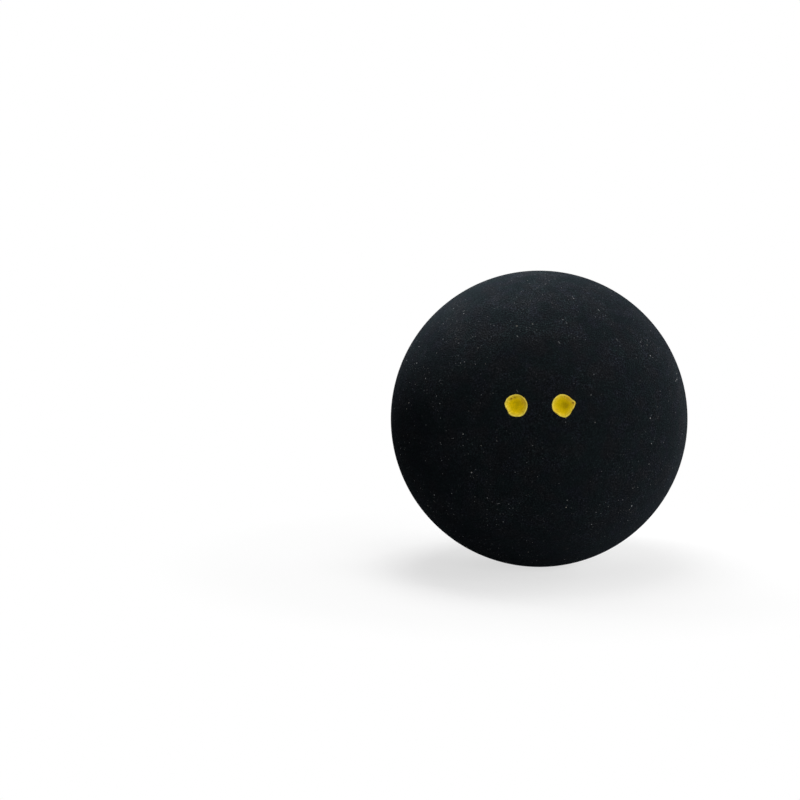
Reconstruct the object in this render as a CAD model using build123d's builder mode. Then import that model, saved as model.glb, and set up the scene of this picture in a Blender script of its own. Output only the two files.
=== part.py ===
# Squash ball: a hollow rubber ball glued up from two moulded halves, with painted speed dots and an ink stamp.
# Sizes are in millimetres and degrees. The origin is the middle of the ball, +Z is up, and the dotted pole
# looks towards -Y and a little up, as the ball lies.

from build123d import *

import os
from math import asin, cos, degrees, radians, sin, sqrt

# Ball
ball_diameter = 40.0  # over the ground outside
shell_wall = 5.0  # rubber between the outside and the hollow core
pole_rise = 12.0  # angle that the dotted pole looks up from level

# Seam
glue_film = 0.1  # cured adhesive between the two rims
glue_relief = 0.05  # how far the film stops short of the ground outside
glue_bead = 0.6  # radius of the bead squeezed out along the inside of the seam

# Speed dots
dot_diameter = 3.0
dot_pitch = 6.0  # from dot to dot, straight across
pit_side = 0.3  # straight side of a pit below its mouth
pit_dish = 0.3  # how much lower the middle of the pit's floor lies
paint_middle = 0.25  # paint over the middle of the floor; at its edge the paint is flush with the ball

# Stamp, as it looks along the ball's axis
ink_film = 0.05
tick_count = 48
tick_ring_diameter = 23.0  # through the middles of the ticks
tick_length = 1.8
tick_width = 0.55
ray_count = 12
ray_start = 2.2  # from the ball's axis to the narrow end of a ray
ray_length = 4.4
ray_narrow = 0.4
ray_wide = 1.3

# The planes and radii that the pieces share
ball_radius = ball_diameter / 2
core_radius = ball_radius - shell_wall
dot_radius = dot_diameter / 2
pole = Vector(0, -cos(radians(pole_rise)), sin(radians(pole_rise)))
mould_plane = Plane(origin=(0, 0, 0), x_dir=(1, 0, 0), z_dir=pole)
stamp_plane = Plane(origin=(0, 0, 0), x_dir=(-1, 0, 0), z_dir=-pole)

# Depths at a dot, below the plane that touches the ball there
mouth_depth = ball_radius - sqrt(ball_radius**2 - dot_radius**2)
side_depth = mouth_depth + pit_side
floor_depth = side_depth + pit_dish
hollow_depth = floor_depth - paint_middle


def turning_axis(plane):
    # The axis that stands on a plane at its origin.
    return Axis(plane.origin, plane.z_dir)


def profile_plane(plane):
    # The plane to draw a turned profile on: X runs out from the turning axis and Y runs along it.
    return Plane(origin=plane.origin, x_dir=plane.x_dir, z_dir=-plane.y_dir)


def dot_plane(side):
    # The plane that touches the ball at the middle of a dot: side -1 is the left dot, 1 the right one.
    swing = degrees(asin(side * dot_pitch / 2 / ball_radius))
    upright = Axis(mould_plane.origin, mould_plane.y_dir)
    outward = pole.rotate(upright, swing)
    along = mould_plane.x_dir.rotate(upright, swing)
    return Plane(origin=outward * ball_radius, x_dir=along, z_dir=outward)


def finish(piece, name):
    # Names a finished piece and writes its file.
    piece.part.label = name
    export_step(piece.part, f"parts/{name}.step")
    print(f"{name}: {piece.part.volume:.3f} mm3")


os.makedirs("parts", exist_ok=True)
dots = {"left_dot_paint": dot_plane(-1), "right_dot_paint": dot_plane(1)}
halves = {
    "dotted_half_shell": (mould_plane, dots.values()),
    "printed_half_shell": (stamp_plane, ()),
}

# Half shells: a turned bowl whose rim stops half a glue film from the seam, with a pit for each dot on its pole
for name, (plane, pit_planes) in halves.items():
    with BuildPart() as half_shell:
        with BuildSketch(profile_plane(plane)):
            Circle(ball_radius)
            Circle(core_radius, mode=Mode.SUBTRACT)
            with Locations((0, glue_film / 2)):
                Rectangle(ball_radius, ball_radius, align=Align.MIN, mode=Mode.INTERSECT)
        revolve(axis=turning_axis(plane))
        for pit_plane in pit_planes:
            with BuildSketch(profile_plane(pit_plane)):
                with BuildLine():
                    floor = TangentArc((0, -floor_depth), (dot_radius, -side_depth), tangent=(1, 0))
                    Polyline(floor @ 1, (dot_radius, floor_depth), (0, floor_depth), floor @ 0)
                make_face()
            revolve(axis=turning_axis(pit_plane), mode=Mode.SUBTRACT)
    finish(half_shell, name)

# Cured adhesive: a flat ring between the rims, with a bead that stands into the hollow core
with BuildPart() as seam_adhesive:
    with BuildSketch(profile_plane(mould_plane)):
        with Locations((core_radius, 0)):
            Circle(glue_bead)
        Circle(core_radius, mode=Mode.INTERSECT)
        with Locations((core_radius - glue_bead / 2, 0)):
            Rectangle(shell_wall + glue_bead / 2 - glue_relief, glue_film, align=(Align.MIN, Align.CENTER))
    revolve(axis=turning_axis(mould_plane))
finish(seam_adhesive, "seam_adhesive")

# Paint of the speed dots: it lies on the pit's floor and side, and dries to a hollow
for name, plane in dots.items():
    with BuildPart() as dot_paint:
        with BuildSketch(profile_plane(plane)):
            with BuildLine():
                floor = TangentArc((0, -floor_depth), (dot_radius, -side_depth), tangent=(1, 0))
                hollow = TangentArc((0, -hollow_depth), (dot_radius, -mouth_depth), tangent=(1, 0))
                Line(floor @ 1, hollow @ 1)
                Line(hollow @ 0, floor @ 0)
            make_face()
        revolve(axis=turning_axis(plane))
    finish(dot_paint, name)

# Stamp, drawn flat: a ring of ticks, and rays that widen from the middle
with BuildSketch(stamp_plane) as tick_marks:
    with PolarLocations(tick_ring_diameter / 2, tick_count):
        Rectangle(tick_length, tick_width)

with BuildSketch(stamp_plane) as ray_marks:
    with PolarLocations(ray_start, ray_count):
        Polygon(
            (0, -ray_narrow / 2),
            (ray_length, -ray_wide / 2),
            (ray_length, ray_wide / 2),
            (0, ray_narrow / 2),
            align=None,
        )

# Ink of the stamp: prisms through the flat drawing, kept only where they lie in the film on the ball
for name, marks in {"print_ring": tick_marks, "print_rays": ray_marks}.items():
    with BuildPart() as ink:
        extrude(marks.sketch, amount=ball_radius + ink_film)
        Sphere(ball_radius + ink_film, mode=Mode.INTERSECT)
        Sphere(ball_radius, mode=Mode.SUBTRACT)
    finish(ink, name)
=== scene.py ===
import math

import bpy
import numpy as np
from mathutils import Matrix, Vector


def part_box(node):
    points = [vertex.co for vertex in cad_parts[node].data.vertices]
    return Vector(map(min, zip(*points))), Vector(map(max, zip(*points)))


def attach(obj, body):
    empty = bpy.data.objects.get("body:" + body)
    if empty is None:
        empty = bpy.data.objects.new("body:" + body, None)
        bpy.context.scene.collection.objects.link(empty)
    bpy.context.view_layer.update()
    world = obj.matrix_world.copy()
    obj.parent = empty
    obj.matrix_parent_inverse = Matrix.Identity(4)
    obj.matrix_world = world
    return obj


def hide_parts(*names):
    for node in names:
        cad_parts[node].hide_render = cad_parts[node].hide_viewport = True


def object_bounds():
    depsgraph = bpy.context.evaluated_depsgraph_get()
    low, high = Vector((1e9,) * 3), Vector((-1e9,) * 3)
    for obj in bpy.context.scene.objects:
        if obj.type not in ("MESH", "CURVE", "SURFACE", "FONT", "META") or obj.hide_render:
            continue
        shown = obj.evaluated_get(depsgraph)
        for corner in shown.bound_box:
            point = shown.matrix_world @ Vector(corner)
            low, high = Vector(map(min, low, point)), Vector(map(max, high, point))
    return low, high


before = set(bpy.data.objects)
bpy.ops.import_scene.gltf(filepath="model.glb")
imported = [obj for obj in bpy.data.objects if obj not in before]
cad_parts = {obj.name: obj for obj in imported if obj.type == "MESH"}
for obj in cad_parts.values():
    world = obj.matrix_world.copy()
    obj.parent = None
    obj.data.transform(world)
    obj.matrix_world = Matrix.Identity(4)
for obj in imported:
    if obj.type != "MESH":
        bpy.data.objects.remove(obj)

# A matt black squash ball: two rubber halves, the glue between them, two painted dots and an ink stamp.
# Sizes are in millimetres and angles in degrees, and addMesh turns them into Blender's metres.
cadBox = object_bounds()     # the solids' own box, before any piece is added
mm = 0.001
print("frame loaded:", ", ".join(sorted(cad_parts)))


def unit(vector):
    return vector / np.linalg.norm(vector)


def middleOf(node):
    low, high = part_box(node)
    return (np.array(low) + np.array(high)) / 2 / mm


def axesAlong(out):
    # Side, up and out: up leans as near to +Z as it can while it is square to out
    up = unit(np.array([0, 0, 1]) - out[2] * out)
    return np.cross(up, out), up, out


def ease(low, high, value):
    # 0 below low, 1 above high, and an even S-curve between them
    share = np.clip((value - low) / (high - low), 0, 1)
    return share * share * (3 - 2 * share)


lowCorner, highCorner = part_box("dotted_half_shell")
ballRadius = (highCorner.x - lowCorner.x) / 2 / mm
dotMiddles = {side: middleOf(f"{side}_dot_paint") for side in ("left", "right")}
poleOut = unit(dotMiddles["left"] + dotMiddles["right"])    # the dotted pole lies midway between the dots


# Meshes: a surface is its points, its four-cornered faces and its three-cornered ones

noTriangles = np.zeros((0, 3), int)


def turnsOf(columns):
    return np.linspace(0, 2 * math.pi, columns, endpoint=False)


def turnProfile(away, along, columns, axes):
    # A profile carried round an axis: each point keeps its distance from the axis and its height along it
    side, up, out = axes
    turn = turnsOf(columns)[:, None]
    across = np.cos(turn) * side + np.sin(turn) * up
    return away[:, None, None] * across + along[:, None, None] * out


def ringQuads(rows, columns):
    # Each ring of points is joined to the next, all the way round
    here = np.arange(columns)
    after = (here + 1) % columns
    base = (np.arange(rows - 1) * columns)[:, None]
    quads = np.stack([base + here, base + columns + here, base + columns + after, base + after], axis=-1)
    return quads.reshape(-1, 4)


def fan(pole, ring):
    # Triangles from one point to each pair of neighbours on a ring
    return np.stack([np.full_like(ring, pole), ring, np.roll(ring, -1)], axis=-1)


def closeRings(rings, startPole, endPole):
    # Joined rings, with a fan that closes each end on its pole
    rows, columns = rings.shape[:2]
    points = np.concatenate([rings.reshape(-1, 3), [startPole, endPole]])
    first = np.arange(columns)
    last = first[::-1] + (rows - 1) * columns
    fans = np.concatenate([fan(rows * columns, first), fan(rows * columns + 1, last)])
    return points, ringQuads(rows, columns), fans


def closeTube(rings):
    # Joined rings, the last of which meets the first
    rows, columns = rings.shape[:2]
    return rings.reshape(-1, 3), ringQuads(rows + 1, columns) % (rows * columns), noTriangles


def addMesh(name, surface, finish, marks):
    points, quads, triangles = surface
    corners = np.concatenate([quads.ravel(), triangles.ravel()]).astype(np.int32)
    sizes = np.repeat([4, 3], [len(quads), len(triangles)])
    mesh = bpy.data.meshes.new(name)
    mesh.vertices.add(len(points))
    mesh.vertices.foreach_set("co", (points * mm).astype(np.float32).ravel())
    mesh.loops.add(len(corners))
    mesh.loops.foreach_set("vertex_index", corners)
    mesh.polygons.add(len(sizes))
    mesh.polygons.foreach_set("loop_start", (np.cumsum(sizes) - sizes).astype(np.int32))
    mesh.polygons.foreach_set("use_smooth", np.ones(len(sizes), bool))
    mesh.update(calc_edges=True)
    mesh.validate()
    for markName, values in marks.items():
        mark = mesh.attributes.new(markName, "FLOAT", "POINT")
        mark.data.foreach_set("value", values.astype(np.float32).ravel())
    mesh.materials.append(finish)
    made = bpy.data.objects.new(name, mesh)
    bpy.context.scene.collection.objects.link(made)
    print(f"{name}: {len(quads) * 2 + len(triangles)} triangles")
    return made


def addPiece(name, surface, nodes, slotName, finish, **marks):
    piece = addMesh(name, surface, finish, marks)
    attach(piece, "root")
    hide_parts(*nodes)


# Shader maths

class Wire:
    # A socket that can be written into sums: each operator adds one Math node to the socket's tree
    def __init__(self, tree, socket=None):
        self.tree = tree
        self.socket = socket

    def node(self, kind, settings, inputs, output=0):
        made = self.tree.nodes.new(kind)
        for name, value in settings.items():
            setattr(made, name, value)
        for key, value in inputs.items():
            if isinstance(value, Wire):
                self.tree.links.new(value.socket, made.inputs[key])
            else:
                made.inputs[key].default_value = value
        return Wire(self.tree, made.outputs[output] if made.outputs else None)

    def also(self, output):
        return Wire(self.tree, self.socket.node.outputs[output])     # another output of the same node

    def math(self, operation, first, second):
        return self.node("ShaderNodeMath", {"operation": operation}, {0: first, 1: second})

    def __add__(self, other):
        return self.math("ADD", self, other)

    def __sub__(self, other):
        return self.math("SUBTRACT", self, other)

    def __rsub__(self, other):
        return self.math("SUBTRACT", other, self)

    def __mul__(self, other):
        return self.math("MULTIPLY", self, other)

    def __pow__(self, other):
        return self.math("POWER", self, other)

    def __rpow__(self, other):
        return self.math("POWER", other, self)

    __radd__ = __add__
    __rmul__ = __mul__


def newFinish(name):
    finish = bpy.data.materials.new(name)
    finish.use_nodes = True
    finish.node_tree.nodes.clear()
    return finish, Wire(finish.node_tree)


def coat(board, inputs):
    shader = board.node("ShaderNodeBsdfPrincipled", {}, inputs)
    board.node("ShaderNodeOutputMaterial", {}, {"Surface": shader})


def bumps(board, height, strength, depth):
    inputs = {"Height": height, "Strength": strength, "Distance": depth * mm}
    return board.node("ShaderNodeBump", {}, inputs)


def placeInMillimetres(board, stretch=(1, 1, 1), turn=(0, 0, 0)):
    place = board.node("ShaderNodeTexCoord", {}, {}, "Object")
    scale = [s / mm for s in stretch]
    turned = [math.radians(t) for t in turn]
    turnedPlace = board.node("ShaderNodeMapping", {}, {"Vector": place, "Rotation": turned})
    return board.node("ShaderNodeVectorMath", {"operation": "MULTIPLY"}, {0: turnedPlace, 1: scale})


def markOf(board, name):
    return board.node("ShaderNodeAttribute", {"attribute_name": name}, {}, "Fac")


def noise(board, place, perMillimetre, detail=2.0, roughness=0.5):
    inputs = {"Vector": place, "Scale": perMillimetre, "Detail": detail, "Roughness": roughness}
    return board.node("ShaderNodeTexNoise", {}, inputs)


def fade(board, value, start, end):
    # 0 at start and 1 at end, with an S-curve between them; start may be the larger one
    inputs = {"Value": value, "From Min": start, "From Max": end}
    return board.node("ShaderNodeMapRange", {"interpolation_type": "SMOOTHSTEP"}, inputs)


def patches(board, place, look):
    # Soft patches: a noise that fades in between two of its values
    return fade(board, noise(board, place, *look["noise"]), *look["limits"])


def reachOf(board, place, towards, start, end):
    # 0 to 1 as the surface reaches out in a direction, between two shares of the ball's radius
    inputs = {0: place, 1: towards}
    reach = board.node("ShaderNodeVectorMath", {"operation": "DOT_PRODUCT"}, inputs, "Value")
    return fade(board, reach, start * ballRadius, end * ballRadius)


def weigh(zones, everywhere, added):
    # A level that holds everywhere, and what each zone adds to it
    return sum((share * zones[zone] for zone, share in added.items()), everywhere)


def specks(board, place, perMillimetre, radius, most, core=0.4, rarity=2):
    # Round grains, each with its own strength: up to most in a grain's core and 0 outside it.
    # Rarity is the power of a random share, so most grains are faint and few are strong.
    distance = board.node("ShaderNodeTexVoronoi", {}, {"Vector": place, "Scale": perMillimetre}, "Distance")
    chances = board.node("ShaderNodeSeparateColor", {}, {0: distance.also("Color")}, "Red")
    reach = radius * perMillimetre
    return fade(board, distance, reach, reach * core) * chances ** rarity * most


def blendColour(board, factor, first, second):
    settings = {"data_type": "RGBA", "clamp_factor": True}
    return board.node("ShaderNodeMix", settings, {0: factor, 6: first, 7: second}, 2)


def brighten(board, colour, level):
    return board.node("ShaderNodeVectorMath", {"operation": "SCALE"}, {0: colour, "Scale": level})


# Finishes. A noise is given as its waves per millimetre, detail and roughness; its values average one half.
# A surface's roughness is given as the least of it, and how much a noise adds.

rubberLook = {
    "tealBlack": (0.0036, 0.0059, 0.0062, 1),
    "violetBlack": (0.0046, 0.0054, 0.0077, 1),
    "warmBlack": (0.0053, 0.0056, 0.0062, 1),
    "violetPatches": {"noise": (0.50, 2.0), "limits": (0.43, 0.66)},
    "warmPatches": {"noise": (0.40, 2.0), "limits": (0.45, 0.68)},
    "paleDust": (0.42, 0.43, 0.44, 1),
    "strawDust": (0.43, 0.41, 0.36, 1),
    "strawPatches": {"noise": (0.9, 1.0), "limits": (0.60, 0.68)},
    "sheen": 0.02,
    "sheenTint": (0.81, 1.0, 1.25, 1),
    "sheenRoughness": 0.8,
    "gloss": 0.001,
    "roughness": (0.72, 0.2),
    "grain": (5.2, 3.0, 0.6),
    "grainLevel": 0.78,
    "grainContrast": 4.3,      # power of the grain: a few bright grains among many dark ones
    "grainHeight": 0.14,
    "mottle": (0.45, 3.0, 0.6),
    "darkest": 0.12,           # share of the black that the darkest grains keep
    # Grains per millimetre of cell side, radius, and share of dust colour at most
    "hazeDust": (2.4, 0.075, 0.15),
    "fineDust": (1.35, 0.08, 0.35),
    "coarseDust": (0.82, 0.098, 1.4),
    "lint": (0.75, 0.07, 0.5),
    "lintLies": [((1, 1, 0.18), (25, 34, 10)), ((0.18, 1, 1), (-20, 21, 15))],     # stretch and turn
    "cloudDust": 0.009,        # share of dust colour in the soft clouds of powder
    # Zones of the ball: a direction, and the shares of the radius between which the zone fades in
    "zones": {
        "lainOn": ((-0.85, -0.40, -0.35), 0.2, 0.9),      # the side it has lain on
        "patch": ((0.59, -0.72, -0.36), 0.84, 0.98),
        "top": ((0, 0, 1), 0.22, 0.85),
        "underside": ((0, 0, -1), 0.15, 0.6),
        "pole": (tuple(poleOut), 0.6, 0.95),              # handling keeps it cleaner and smoother
    },
    "groups": {"noise": (0.25, 2.0, 0.6), "limits": (0.38, 0.64)},     # dust lies in groups
    # Strengths: the level everywhere, and what the zones and the groups add
    "grainSwing": (1.2, {"pole": -0.3}),
    "groupSwing": (0.64, {"groups": 0.72}),
    "crowd": (0.2, {"groups": 1.55, "patch": 0.7}),
    "powder": (0.7, {"lainOn": 1.3, "top": 0.42, "underside": 0.35, "pole": -0.28}),
    "grit": (0.72, {"lainOn": 1.2, "underside": 0.4, "pole": -0.34, "top": -0.36}),
    "clouds": (0.3, {"top": 0.5, "lainOn": 0.4}),
}


def rubberFinish():
    look = rubberLook
    finish, board = newFinish("ground_rubber")
    place = placeInMillimetres(board)
    zones = {name: reachOf(board, place, *zone) for name, zone in look["zones"].items()}
    zones["groups"] = patches(board, place, look["groups"])
    strength = {name: weigh(zones, *look[name])
                for name in ("grainSwing", "groupSwing", "crowd", "powder", "grit", "clouds")}

    violet = patches(board, place, look["violetPatches"])
    warm = patches(board, place, look["warmPatches"])
    black = blendColour(board, violet, look["tealBlack"], look["violetBlack"])
    black = blendColour(board, warm, black, look["warmBlack"])
    grain = noise(board, place, *look["grain"])
    mottle = noise(board, place, *look["mottle"])
    swing = look["grainLevel"] * (2 * grain) ** look["grainContrast"] + (mottle - 0.5) - 1
    level = 1 + swing * strength["grainSwing"] * strength["groupSwing"]
    black = brighten(board, black, board.math("MAXIMUM", level, look["darkest"]))

    haze = specks(board, place, *look["hazeDust"])
    fine = specks(board, place, *look["fineDust"])
    coarse = specks(board, place, *look["coarseDust"])
    powder = (haze + fine) * strength["crowd"] * strength["powder"]
    grit = coarse * strength["crowd"] * strength["grit"]
    clouds = zones["groups"] * strength["clouds"] * look["cloudDust"]
    dust = powder + grit + clouds
    for stretch, turn in look["lintLies"]:
        dust = dust + specks(board, placeInMillimetres(board, stretch, turn), *look["lint"])
    straw = patches(board, place, look["strawPatches"])
    dustColour = blendColour(board, straw, look["paleDust"], look["strawDust"])

    leastRough, addedRough = look["roughness"]
    coat(board, {
        "Base Color": blendColour(board, dust, black, dustColour),
        "Roughness": leastRough + addedRough * mottle,
        "Specular IOR Level": look["gloss"],
        "Sheen Weight": look["sheen"],
        "Sheen Roughness": look["sheenRoughness"],
        "Sheen Tint": look["sheenTint"],
        "Normal": bumps(board, grain, 1.0, look["grainHeight"]),
    })
    return finish


paintLook = {
    "pool": (0.83, 0.58, 0.0008, 1),      # where the paint lies deep
    "rim": (0.95, 0.755, 0.11, 1),        # where it has dried on the lip
    "blush": (0.78, 0.44, 0.03, 1),
    # painted shade: darker paint where the hollow is shaded, partly thin paint over the black rubber
    "smudgeAndShade": (0.40, 0.275, 0.0005, 1),
    "pinhole": (0.28, 0.13, 0.02, 1),
    "cloud": (2.6, 3.0, 0.6),
    "grit": (7.0, 2.0, 0.6),
    "markCloud": (0.1, 1.8),              # share of a mark that always shows, and what the cloud adds
    "mottle": 0.55,
    "mottleGrit": 1.3,                    # how much the grit counts in the mottling, against the cloud
    "mottleMiddle": 1.15,                 # middle of cloud and grit, where the colour stays as it is
    "bumpGrit": 0.4,
    "bumpStrength": 0.5,
    "bumpDepth": 0.02,
    "roughness": (0.45, 0.2),
    "gloss": 0.01,
}


def paintFinish():
    look = paintLook
    finish, board = newFinish("dot_paint")
    place = placeInMillimetres(board)
    cloud = noise(board, place, *look["cloud"])
    grit = noise(board, place, *look["grit"])
    leastMark, addedMark = look["markCloud"]
    colour = look["pool"]
    # The smudge mark lays painted shade, partly thin paint, into the paint's colour
    for mark in ("rim", "blush", "smudgeAndShade", "pinhole"):
        share = markOf(board, mark) * (leastMark + addedMark * cloud)
        colour = blendColour(board, share, colour, look[mark])
    level = 1 + look["mottle"] * (cloud + look["mottleGrit"] * grit - look["mottleMiddle"])
    leastRough, addedRough = look["roughness"]
    coat(board, {
        "Base Color": brighten(board, colour, level),
        "Roughness": leastRough + addedRough * grit,
        "Specular IOR Level": look["gloss"],
        "Normal": bumps(board, cloud + look["bumpGrit"] * grit, look["bumpStrength"], look["bumpDepth"]),
    })
    return finish


inkLook = {
    "ink": (0.40, 0.52, 0.63, 1),
    "thinInk": (0.25, 0.33, 0.40, 1),
    "bare": (0.008, 0.0095, 0.0105, 1),   # rubber that shows through the pinholes
    "cloud": (1.3, 2.0),
    "cloudShare": 0.5,
    "pepper": (11.0, 1.0),
    "thinLimits": (0.58, 0.95),
    "grain": (7.0, 3.0, 0.7),
    "edgeWear": 0.12,                     # more pinholes along a mark's edge
    "pinholeLimits": (0.59, 0.66),
    "bumpStrength": 0.4,
    "bumpDepth": 0.012,
    "roughness": (0.7, 0.15),
    "gloss": 0.1,
}


def inkFinish():
    look = inkLook
    finish, board = newFinish("stamp_ink")
    place = placeInMillimetres(board)
    cloud = noise(board, place, *look["cloud"])
    pepper = noise(board, place, *look["pepper"])
    grain = noise(board, place, *look["grain"])
    thin = fade(board, look["cloudShare"] * cloud + pepper, *look["thinLimits"])
    pinholes = fade(board, grain + look["edgeWear"] * markOf(board, "edge"), *look["pinholeLimits"])
    colour = blendColour(board, thin, look["ink"], look["thinInk"])
    leastRough, addedRough = look["roughness"]
    coat(board, {
        "Base Color": blendColour(board, pinholes, colour, look["bare"]),
        "Roughness": leastRough + addedRough * cloud,
        "Specular IOR Level": look["gloss"],
        "Normal": bumps(board, grain, look["bumpStrength"], look["bumpDepth"]),
    })
    return finish


glueLook = {
    "black": (0.008, 0.008, 0.008, 1),
    "brown": (0.018, 0.016, 0.014, 1),
    "cloud": (1.5, 2.0),
    "roughness": (0.45, 0.2),
    "gloss": 0.1,
}


def glueFinish():
    look = glueLook
    finish, board = newFinish("seam_glue")
    cloud = noise(board, placeInMillimetres(board), *look["cloud"])
    leastRough, addedRough = look["roughness"]
    coat(board, {
        "Base Color": blendColour(board, cloud, look["black"], look["brown"]),
        "Roughness": leastRough + addedRough * cloud,
        "Specular IOR Level": look["gloss"],
    })
    return finish


rubber = rubberFinish()
paint = paintFinish()
ink = inkFinish()
glue = glueFinish()
print("finishes made")


# Rubber halves

shellCut = {
    "wall": 5.0,
    "glueFilm": 0.1,
    "edgeRound": 0.05,       # ground edge of the rim, seen as a hair line round the ball
    "edgeRows": 6,
    "rimRows": 8,
    "coreRows": 30,
    "dotZone": (1.2, 4.8),   # rings stand close together between these distances from the pole
    "dottedRows": (10, 62, 70),
    "dottedSpread": 1.3,     # power by which rings spread out from the dots to the rim
    "dottedColumns": 384,
    "printedRows": 90,
    "printedColumns": 288,
}
pitCut = {
    "floor": 1.16,           # the dished part's radius
    "lip": 1.44,             # where the wall has eased up to the ball's surface
    "depth": 0.42,
    "dish": 0.18,            # how much deeper the middle is
}
coreRadius = ballRadius - shellCut["wall"]
rimHeight = shellCut["glueFilm"] / 2


def pitDepth(reach):
    # Depth below the ball at a distance from a pit's middle: a dished floor, and a wall eased up to the lip
    floor = pitCut["depth"] + pitCut["dish"] * (1 - np.clip(reach / pitCut["floor"], 0, 1) ** 2)
    return floor * (1 - ease(pitCut["floor"], pitCut["lip"], reach))


def halfShell(out, columns, outerAngles, pits):
    # A profile turned about the half's axis: the outside from pole to rim, the ground edge, the flat rim
    # and the inside back to the pole; at each pit the outside sinks along its own normal
    edge = shellCut["edgeRound"]
    bend = np.radians(np.linspace(0, 90, shellCut["edgeRows"]))[1:]
    rim = np.linspace(ballRadius - edge, coreRadius, shellCut["rimRows"])[1:-1]
    innerAngles = np.linspace(math.acos(rimHeight / coreRadius), 0, shellCut["coreRows"])[:-1]
    away = np.concatenate([
        ballRadius * np.sin(outerAngles),
        ballRadius - edge + edge * np.cos(bend),
        rim,
        coreRadius * np.sin(innerAngles),
    ])
    along = np.concatenate([
        ballRadius * np.cos(outerAngles),
        rimHeight + edge - edge * np.sin(bend),
        np.full_like(rim, rimHeight),
        coreRadius * np.cos(innerAngles),
    ])
    rings = turnProfile(away, along, columns, axesAlong(out))
    outside = rings[:len(outerAngles)]
    normals = outside / np.linalg.norm(outside, axis=-1, keepdims=True)
    sink = np.zeros(outside.shape[:2])
    for pit in pits:
        facing = np.clip(normals @ unit(pit), 0, 1)
        sink += pitDepth(ballRadius * np.sqrt(1 - facing ** 2))
    rings[:len(outerAngles)] -= sink[..., None] * normals
    return closeRings(rings, ballRadius * out, coreRadius * out)


rimAngle = math.acos((rimHeight + shellCut["edgeRound"]) / ballRadius)
zoneStart, zoneEnd = (distance / ballRadius for distance in shellCut["dotZone"])
poleRows, zoneRows, outerRows = shellCut["dottedRows"]
dottedAngles = np.concatenate([
    np.linspace(0, zoneStart, poleRows)[1:],
    np.linspace(zoneStart, zoneEnd, zoneRows)[1:],
    zoneEnd + (rimAngle - zoneEnd) * np.linspace(0, 1, outerRows)[1:] ** shellCut["dottedSpread"],
])
printedAngles = np.linspace(0, rimAngle, shellCut["printedRows"])[1:]
dottedHalf = halfShell(poleOut, shellCut["dottedColumns"], dottedAngles, dotMiddles.values())
printedHalf = halfShell(-poleOut, shellCut["printedColumns"], printedAngles, [])
addPiece("rubber_half_dotted", dottedHalf, ["dotted_half_shell"], "shell_rubber", rubber)
addPiece("rubber_half_printed", printedHalf, ["printed_half_shell"], "shell_rubber", rubber)


# Glue in the seam

glueCut = {
    "film": 0.098,
    "relief": 0.05,      # how far the film stops short of the outside
    "bead": 0.6,         # radius of the bead that stands into the core
    "beadGap": 0.02,     # how far outside the core the film starts
    "beadRows": 17,
    "filmRows": 6,
    "columns": 288,
}


def seamRing(cut):
    # A closed profile turned about the ball's axis: the film between the rims, and half a round bead inside
    bow = np.radians(np.linspace(270, 90, cut["beadRows"]))
    film = np.linspace(coreRadius + cut["beadGap"], ballRadius - cut["relief"], cut["filmRows"])
    halfFilm = np.full_like(film, cut["film"] / 2)
    away = np.concatenate([coreRadius + cut["bead"] * np.cos(bow), film, film[::-1]])
    along = np.concatenate([cut["bead"] * np.sin(bow), halfFilm, -halfFilm])
    return closeTube(turnProfile(away, along, cut["columns"], axesAlong(poleOut)))


addPiece("seam_glue_ring", seamRing(glueCut), ["seam_adhesive"], "seam_glue", glue)


# Painted dots

dotCut = {
    "hollow": 0.34,      # how far the middle of the paint lies below the ball's surface
    "hollowPower": 1.3,
    "bead": 0.035,       # height of the dried rim
    "beadAt": 0.92,      # its place, as a share of the way from the middle to the edge
    "beadWidth": 0.06,
    "film": 0.008,       # paint at the very edge
    "thinning": (0.94, 1.0),     # shares of the way out between which the paint eases down to the film
    "underGap": 0.002,   # between the paint's underside and the rubber
    "rimTint": [(0.35, 0.5, 0.95), (0.65, 0.82, 0.96)],     # shares of rim colour, and where each eases in
    "columns": 160,
    "topRows": 64,
    "underRows": 16,
}
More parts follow.
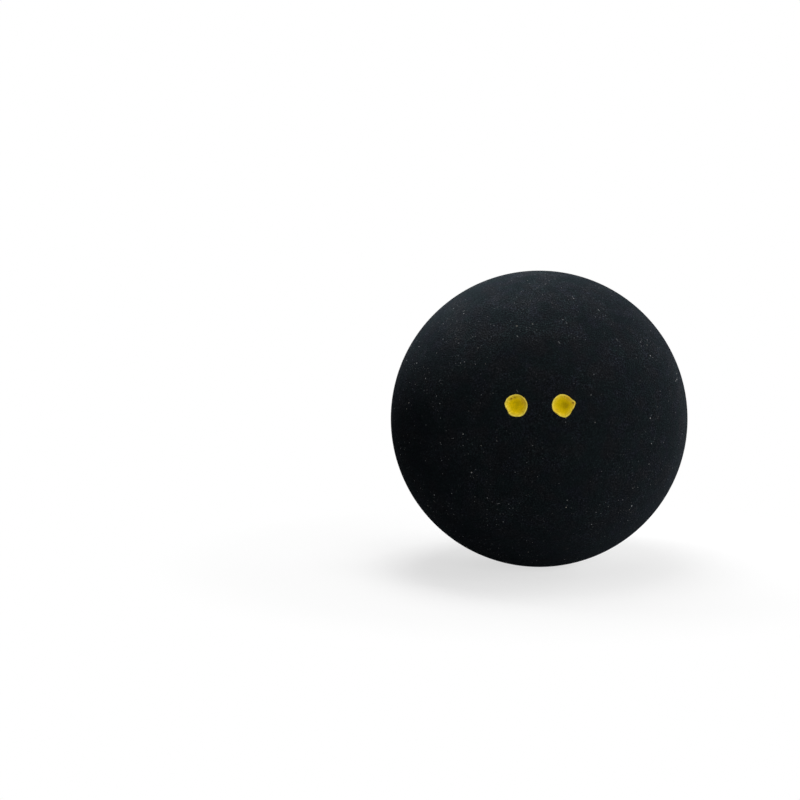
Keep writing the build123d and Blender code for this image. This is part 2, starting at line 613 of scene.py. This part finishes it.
# An outline is a circle with smooth bumps and dents where the paint has run or drawn back.
# Slip: how far the paint's middle lies from the pit's, across and up.
# Bumps: angle from the right, height as a share of the radius and half-width in degrees.
# Smudges, blushes and pinholes: across and up from the dot's middle as shares of the radius, then size and
# strength. The smudges are partly thin paint over the black rubber and partly painted shade: they darken
# the paint where the hollow lies in shade, and the right dot's broad one darkens it where more light falls
# on it.
dotShapes = {
    "left": {
        "radius": 1.444,
        "slip": (0.0, 0.0),
        "bumps": [(45, -0.022, 30), (150, 0.058, 25), (172, 0.04, 7), (207, -0.064, 20), (262, -0.014, 25),
                  (305, 0.05, 22)],
        # painted shade in the shaded parts of the hollow, kept light so that the less lit left dot matches
        # the right one
        "smudgeAndShade": [(-0.12, -0.02, 0.42, 0.36), (0.14, 0.18, 0.22, 0.32), (-0.05, -0.25, 0.16, 0.22)],
        "blush": [(0.58, 0.34, 0.26, 0.5), (0.50, -0.45, 0.2, 0.3)],
        "pinhole": [(-0.55, 0.57, 0.08, 0.8), (-0.44, 0.61, 0.07, 0.8), (-0.22, 0.70, 0.07, 0.9),
                    (-0.11, 0.71, 0.06, 0.8), (-0.62, -0.56, 0.06, 0.5)],
    },
    "right": {
        "radius": 1.44,
        "slip": (-0.01, 0.02),
        "bumps": [(15, 0.13, 11), (24, 0.028, 6), (0, 0.028, 14), (47, -0.032, 15), (72, -0.02, 9),
                  (105, 0.028, 20), (230, -0.055, 18), (280, 0.06, 13), (330, -0.075, 19)],
        # painted shade: a broad spot darkens the whole right dot, on which more light falls than on the
        # left one
        "smudgeAndShade": [(0, 0, 1.2, 0.42), (0.06, 0.08, 0.42, 0.35), (0.28, 0, 0.28, 0.35)],
        "blush": [(0.52, 0.66, 0.24, 0.6), (-0.62, -0.40, 0.24, 0.5), (0.95, 0.10, 0.16, 0.5)],
        "pinhole": [(0.95, 0.25, 0.07, 0.8), (0.84, 0.27, 0.06, 0.7), (0.45, 0.09, 0.07, 0.3),
                    (0.31, -0.12, 0.07, 0.35), (-0.70, 0.42, 0.05, 0.4), (0.15, 0.80, 0.06, 0.4)],
    },
}


def outlineRadius(turn, shape):
    # The circle's radius with each bump added, and shifted by the slip
    share = np.ones_like(turn)
    for angle, height, width in shape["bumps"]:
        gap = (np.degrees(turn) - angle + 180) % 360 - 180
        share += height * np.exp(-((gap / width) ** 2))
    slipRight, slipUp = shape["slip"]
    return shape["radius"] * share + slipRight * np.cos(turn) + slipUp * np.sin(turn)


def dotPaint(middle, shape, cut):
    # Rings from the middle of the hollow out over the dried rim to the edge, then back under the paint.
    # The top is a hollow bowl plus a low round rim, and it eases down to the rubber at the edge.
    side, up, out = axesAlong(unit(middle))
    turn = turnsOf(cut["columns"])
    topShare = np.sin(np.linspace(0, math.pi / 2, cut["topRows"]))[1:]
    underShare = np.linspace(1, 0, cut["underRows"])[:-1]
    share = np.concatenate([topShare, underShare])[:, None] * np.ones_like(turn)
    reach = share * outlineRadius(turn, shape)
    ground = -pitDepth(reach)
    bowl = -cut["hollow"] * (1 - share ** 2) ** cut["hollowPower"]
    bead = cut["bead"] * np.exp(-(((share - cut["beadAt"]) / cut["beadWidth"]) ** 2))
    free = np.maximum(bowl + bead, ground + cut["film"])
    top = free + (ground + cut["film"] - free) * ease(*cut["thinning"], share)
    isTop = np.arange(len(share))[:, None] < len(topShare)
    height = np.where(isTop, top, ground + cut["underGap"])
    swing = np.arcsin(reach / ballRadius)[..., None]
    across = np.cos(turn)[:, None] * side + np.sin(turn)[:, None] * up
    rings = (ballRadius + height)[..., None] * (np.cos(swing) * out + np.sin(swing) * across)
    startPole = (ballRadius - cut["hollow"]) * out
    endPole = (ballRadius - pitDepth(0) + cut["underGap"]) * out
    # Each kind of mark is a sum of round soft spots; the last two values are the poles'
    rimTint = sum(tint * ease(start, end, share) for tint, start, end in cut["rimTint"])
    marks = {"rim": np.append(rimTint, [0, 0])}
    rightward = np.append(reach * np.cos(turn) / shape["radius"], [0, 0])
    upward = np.append(reach * np.sin(turn) / shape["radius"], [0, 0])
    for kind in ("smudgeAndShade", "blush", "pinhole"):
        marks[kind] = np.zeros_like(rightward)
        for x, y, size, strength in shape[kind]:
            marks[kind] += strength * np.exp(-((rightward - x) ** 2 + (upward - y) ** 2) / size ** 2)
    return closeRings(rings, startPole, endPole), marks


for side, shape in dotShapes.items():
    surface, marks = dotPaint(dotMiddles[side], shape, dotCut)
    addPiece(f"{side}_dot", surface, [f"{side}_dot_paint"], "dot_paint", paint, **marks)


# Ink stamp on the other pole, as it looks along the ball's axis

stampCut = {
    "film": 0.05,
    "underGap": 0.001,       # between the ink and the rubber
    "roundFrom": 0.8,        # share of a mark's half-length from which its ends are rounded
    "roundShare": 0.5,
    "edgePowers": (6, 4),    # how near to its ends and sides a mark starts to thin
    "edgeThin": 0.9,
    "rows": 13,
    "columns": 9,
    "ticks": {"count": 48, "start": 10.6, "length": 1.8, "narrow": 0.55, "wide": 0.55},
    "rays": {"count": 12, "start": 2.2, "length": 4.4, "narrow": 0.4, "wide": 1.3},
}


def sheetFaces(rows, columns):
    # The faces of a sheet with a top, an underside and a wall round both
    number = np.arange(rows * columns).reshape(rows, columns)
    corners = [number[:-1, :-1], number[1:, :-1], number[1:, 1:], number[:-1, 1:]]
    top = np.stack(corners, axis=-1).reshape(-1, 4)
    under = top[:, ::-1] + rows * columns
    loop = np.concatenate([number[0, :-1], number[:-1, -1], number[-1, :0:-1], number[:0:-1, 0]])
    after = np.roll(loop, -1)
    wall = np.stack([loop, after, after + rows * columns, loop + rows * columns], axis=-1)
    return np.concatenate([top, under, wall])


def stampMarks(cut, mark):
    # Each mark is a sheet along its length and across its width, laid on the ball: its top thins to a
    # rounded edge and its underside lies on the rubber
    side, up, out = axesAlong(-poleOut)
    rows, columns, count = cut["rows"], cut["columns"], mark["count"]
    lengthwise = np.linspace(-1, 1, rows)[:, None]
    crosswise = np.linspace(-1, 1, columns)
    outward = (lengthwise + 1) / 2
    atEnd = np.clip((np.abs(lengthwise) - cut["roundFrom"]) / (1 - cut["roundFrom"]), 0, 1)
    taper = mark["narrow"] + (mark["wide"] - mark["narrow"]) * outward
    width = taper * np.sqrt(1 - cut["roundShare"] * atEnd ** 2)
    along = mark["start"] + mark["length"] * outward
    beside = width / 2 * crosswise
    endPower, sidePower = cut["edgePowers"]
    edge = np.maximum(np.abs(lengthwise) ** endPower, np.abs(crosswise) ** sidePower)
    top = cut["film"] * np.sqrt(1 - cut["edgeThin"] * edge)
    heights = np.stack([top, np.full_like(top, cut["underGap"])])
    turn = turnsOf(count)[:, None, None, None]
    x = along * np.cos(turn) - beside * np.sin(turn)
    y = along * np.sin(turn) + beside * np.cos(turn)
    z = np.sqrt((ballRadius + heights) ** 2 - x ** 2 - y ** 2)
    points = x[..., None] * side + y[..., None] * up + z[..., None] * out
    offsets = np.arange(count) * 2 * rows * columns
    quads = (sheetFaces(rows, columns) + offsets[:, None, None]).reshape(-1, 4)
    return (points.reshape(-1, 3), quads, noTriangles), np.broadcast_to(edge, (count, 2, rows, columns))


tickSurface, tickEdge = stampMarks(stampCut, stampCut["ticks"])
raySurface, rayEdge = stampMarks(stampCut, stampCut["rays"])
addPiece("stamp_ticks", tickSurface, ["print_ring"], "stamp_ink", ink, edge=tickEdge)
addPiece("stamp_rays", raySurface, ["print_rays"], "stamp_ink", ink, edge=rayEdge)


# Floor, light and camera

stageLook = {
    "radius": 600.0,
    "rings": 24,
    "columns": 96,
    "white": (1, 1, 1, 1),
    "paper": (0.92, 0.92, 0.92, 1),
    "bounce": (0.35, 0.35, 0.35, 1),      # how much of the light the floor sends back to the ball
    "whiteNear": 0.66,                    # share of plain white beside the ball, where the shadow falls
    "nearEdge": 20.0,
    "farEdge": 55.0,                      # from here on the floor is plain white
    "fill": 0.03,                         # even light from all round
}


def seenDirectly(board):
    # 1 for rays that show the surroundings: from the camera, in a reflection or through something clear
    camera = board.node("ShaderNodeLightPath", {}, {}, "Is Camera Ray")
    rays = camera + camera.also("Is Glossy Ray") + camera.also("Is Transmission Ray")
    return board.math("MINIMUM", rays, 1.0)


def paperFinish():
    look = stageLook
    finish, board = newFinish("floor_paper")
    place = placeInMillimetres(board, (1, 1, 0))
    distance = board.node("ShaderNodeVectorMath", {"operation": "LENGTH"}, {0: place}, "Value")
    white = board.node("ShaderNodeEmission", {}, {"Color": look["white"], "Strength": 1.0})
    paper = board.node("ShaderNodeBsdfDiffuse", {}, {"Color": look["paper"]})
    bounce = board.node("ShaderNodeBsdfDiffuse", {}, {"Color": look["bounce"]})
    far = fade(board, distance, look["nearEdge"], look["farEdge"])
    whiteShare = look["whiteNear"] + (1 - look["whiteNear"]) * far
    shown = board.node("ShaderNodeMixShader", {}, {0: whiteShare, 1: paper, 2: white})
    mixed = board.node("ShaderNodeMixShader", {}, {0: seenDirectly(board), 1: bounce, 2: shown})
    board.node("ShaderNodeOutputMaterial", {}, {"Surface": mixed})
    return finish


def floorDisc(look):
    # Flat rings about the point under the ball, which spread out with the square of their number
    height = cadBox[0].z / mm
    away = look["radius"] * np.linspace(0, 1, look["rings"])[1:] ** 2
    rings = turnProfile(away, np.full_like(away, height), look["columns"], np.eye(3))
    points = np.concatenate([rings.reshape(-1, 3), [[0, 0, height]]])
    middle = fan(len(points) - 1, np.arange(look["columns"]))
    return points, ringQuads(len(away), look["columns"]), middle


floor = addMesh("floor", floorDisc(stageLook), paperFinish(), {})
floor.data.shade_flat()

# Soft lamps: direction from the ball, distance and side of the lamp, and the light that it throws on a
# white card at the ball's middle
lampPlan = {
    "overhead": {"towards": (0.08, -0.04, 1), "distance": 70.0, "side": 40.0, "level": 0.60},
    "upperLeft": {"towards": (-0.44, 0.2, 0.88), "distance": 47.0, "side": 20.0, "level": 0.98},
    "frontHigh": {"towards": (0.15, -0.52, 0.84), "distance": 80.0, "side": 50.0, "level": 0.24},
    "frontRight": {"towards": (0.45, -0.85, 0.25), "distance": 600.0, "side": 300.0, "level": 0.445},
    "right": {"towards": (0.92, -0.28, 0.03), "distance": 70.0, "side": 30.0, "level": 0.31},
    "rightBack": {"towards": (0.75, 0.65, 0), "distance": 70.0, "side": 30.0, "level": 0.60},
    "back": {"towards": (-0.2, 0.93, 0.3), "distance": 60.0, "side": 40.0, "level": 0.26},
}
for name, plan in lampPlan.items():
    light = bpy.data.lights.new(name, "AREA")
    light.shape = "SQUARE"
    light.size = plan["side"] * mm
    light.energy = plan["level"] * (math.pi * plan["distance"] * mm) ** 2      # watts for that level
    lamp = bpy.data.objects.new(name, light)
    towards = Vector(plan["towards"]).normalized()
    lamp.location = towards * plan["distance"] * mm
    lamp.rotation_mode = "QUATERNION"
    lamp.rotation_quaternion = (-towards).to_track_quat("-Z", "Y")
    bpy.context.scene.collection.objects.link(lamp)

world = bpy.data.worlds.new("studio")
world.use_nodes = True
world.node_tree.nodes.clear()
sky = Wire(world.node_tree)
fill = sky.node("ShaderNodeBackground", {}, {"Color": stageLook["white"], "Strength": stageLook["fill"]})
white = sky.node("ShaderNodeBackground", {}, {"Color": stageLook["white"], "Strength": 1.0})
surround = sky.node("ShaderNodeMixShader", {}, {0: seenDirectly(sky), 1: fill, 2: white})
sky.node("ShaderNodeOutputWorld", {}, {"Surface": surround})
bpy.context.scene.world = world
print("floor, lamps and surroundings made")

# The camera stands before the dotted pole, a little above the ball's middle, and is turned so that the ball
# comes where the photograph has it. Pixels are counted in the photograph's frame, from its upper left.
cameraPlan = {
    "distance": 360.0,
    "azimuth": -0.36,        # a little to the left of the dotted pole
    "elevation": 7.17,
    "framePixels": 800,
    "focalPixels": 2661.0,
    "ballAtX": 538.74,
    "ballAtY": 418.70,
    "sensor": 36.0,
}


def makeCamera(plan):
    # In the camera's own axes the ball lies in the direction (across, upward, 1 ahead), and turning and
    # tilting the camera without roll brings that onto the line from the camera to the ball
    middle = plan["framePixels"] / 2
    across = (plan["ballAtX"] - middle) / plan["focalPixels"]
    upward = (middle - plan["ballAtY"]) / plan["focalPixels"]
    elevation = math.radians(plan["elevation"])
    length = math.sqrt(1 + across ** 2 + upward ** 2)
    tilt = math.asin(-math.sin(elevation) * length / math.hypot(1, upward)) - math.atan(upward)
    turn = math.atan2(across, math.cos(tilt) - upward * math.sin(tilt))
    data = bpy.data.cameras.new("camera")
    data.sensor_width = plan["sensor"]
    data.lens = plan["focalPixels"] * plan["sensor"] / plan["framePixels"]
    camera = bpy.data.objects.new("camera", data)
    azimuth = math.radians(plan["azimuth"])
    reach = plan["distance"] * mm
    level = reach * math.cos(elevation)
    camera.location = (level * math.sin(azimuth), -level * math.cos(azimuth), reach * math.sin(elevation))
    camera.rotation_euler = (math.pi / 2 + tilt, 0, turn + azimuth)
    bpy.context.scene.collection.objects.link(camera)
    bpy.context.scene.camera = camera


makeCamera(cameraPlan)
bpy.context.scene.view_settings.view_transform = "Standard"

print("scene ready")
